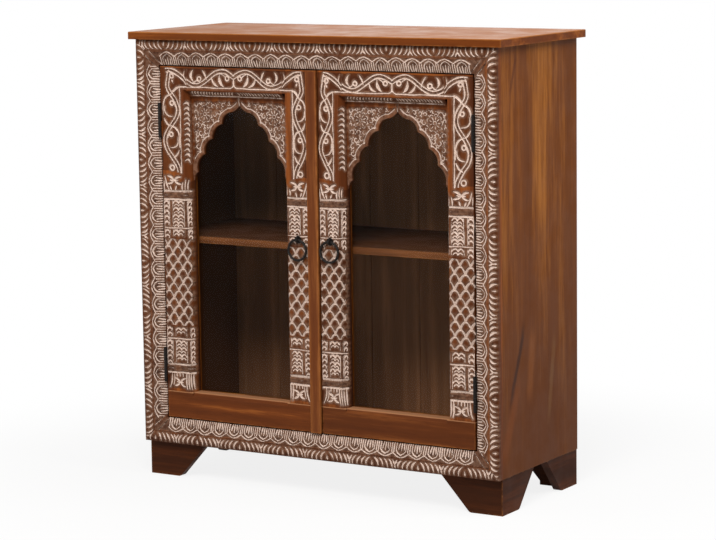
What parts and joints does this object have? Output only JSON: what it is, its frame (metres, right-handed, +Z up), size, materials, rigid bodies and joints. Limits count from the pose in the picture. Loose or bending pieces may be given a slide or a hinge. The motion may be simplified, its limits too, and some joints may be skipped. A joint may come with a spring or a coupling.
{
  "type": "glazed cabinet",
  "caption": "Low wooden cabinet with glazed doors under cusped arch panels, a mitred carved face frame, iron ring pulls, an inner shelf and bracket feet.",
  "frame": {"origin": "on the floor, under the middle of the cabinet's overall box", "axes": "+X to the cabinet's right-hand door as seen from the front, +Y to its back, +Z up"},
  "size_m": [0.9, 0.373, 0.962],
  "materials": {
    "plain_wood": "oiled, satin",
    "carved_wood": "carved, lime-washed in the cuts",
    "top_wood": "waxed, satin",
    "foot_wood": "dark stained",
    "inner_wood": "plain",
    "black_iron": "blackened",
    "glass": "clear",
    "catch_plastic": "brown"
  },
  "bodies": {
    "cabinet": {"back_planks": "inner_wood", "back_top_cleat": "inner_wood", "bottom_board": "inner_wood", "door_catches": "catch_plastic", "foot_glue_blocks": "foot_wood", "frame_bottom": "carved_wood", "frame_left": "carved_wood", "frame_right": "carved_wood", "frame_top": "carved_wood", "front_top_cleat": "inner_wood", "left_back_foot_face": "foot_wood", "left_back_foot_side": "foot_wood", "left_front_foot_face": "foot_wood", "left_front_foot_side": "foot_wood", "left_lower_frame_leaf": "black_iron", "left_lower_hinge_pin": "black_iron", "left_shelf_cleat": "inner_wood", "left_side": "plain_wood", "left_upper_frame_leaf": "black_iron", "left_upper_hinge_pin": "black_iron", "right_back_foot_face": "foot_wood", "right_back_foot_side": "foot_wood", "right_front_foot_face": "foot_wood", "right_front_foot_side": "foot_wood", "right_lower_frame_leaf": "black_iron", "right_lower_hinge_pin": "black_iron", "right_shelf_cleat": "inner_wood", "right_side": "plain_wood", "right_upper_frame_leaf": "black_iron", "right_upper_hinge_pin": "black_iron", "shelf": "inner_wood", "top_board": "top_wood"},
    "left_door": {"left_bottom_rail": "plain_wood", "left_glass": "glass", "left_glazing_beads": "plain_wood", "left_hinge_stile": "carved_wood", "left_inner_spandrel": "carved_wood", "left_lower_door_leaf": "black_iron", "left_meeting_stile": "carved_wood", "left_outer_spandrel": "carved_wood", "left_pull_staple": "black_iron", "left_strike_plate": "black_iron", "left_top_rail": "carved_wood", "left_upper_door_leaf": "black_iron", "meeting_strip": "plain_wood"},
    "right_door": {"right_bottom_rail": "plain_wood", "right_glass": "glass", "right_glazing_beads": "plain_wood", "right_hinge_stile": "carved_wood", "right_inner_spandrel": "carved_wood", "right_lower_door_leaf": "black_iron", "right_meeting_stile": "carved_wood", "right_outer_spandrel": "carved_wood", "right_pull_staple": "black_iron", "right_strike_plate": "black_iron", "right_top_rail": "carved_wood", "right_upper_door_leaf": "black_iron"},
    "left_ring": {"left_pull_ring": "black_iron"},
    "right_ring": {"right_pull_ring": "black_iron"}
  },
  "joints": [
    {"name": "left_door_hinge", "type": "hinge", "parent": "cabinet", "child": "left_door", "pos_m": [-0.38, -0.1743, 0.5], "axis": [0, 0, -1], "range_deg": [0, 120]},
    {"name": "right_door_hinge", "type": "hinge", "parent": "cabinet", "child": "right_door", "pos_m": [0.38, -0.1743, 0.5], "axis": [0, 0, 1], "range_deg": [0, 120]},
    {"name": "left_ring_swing", "type": "hinge", "parent": "left_door", "child": "left_ring", "pos_m": [-0.038, -0.1745, 0.5375], "axis": [-1, 0, 0], "range_deg": [0, 85]},
    {"name": "right_ring_swing", "type": "hinge", "parent": "right_door", "child": "right_ring", "pos_m": [0.04, -0.1745, 0.5375], "axis": [-1, 0, 0], "range_deg": [0, 85]}
  ]
}
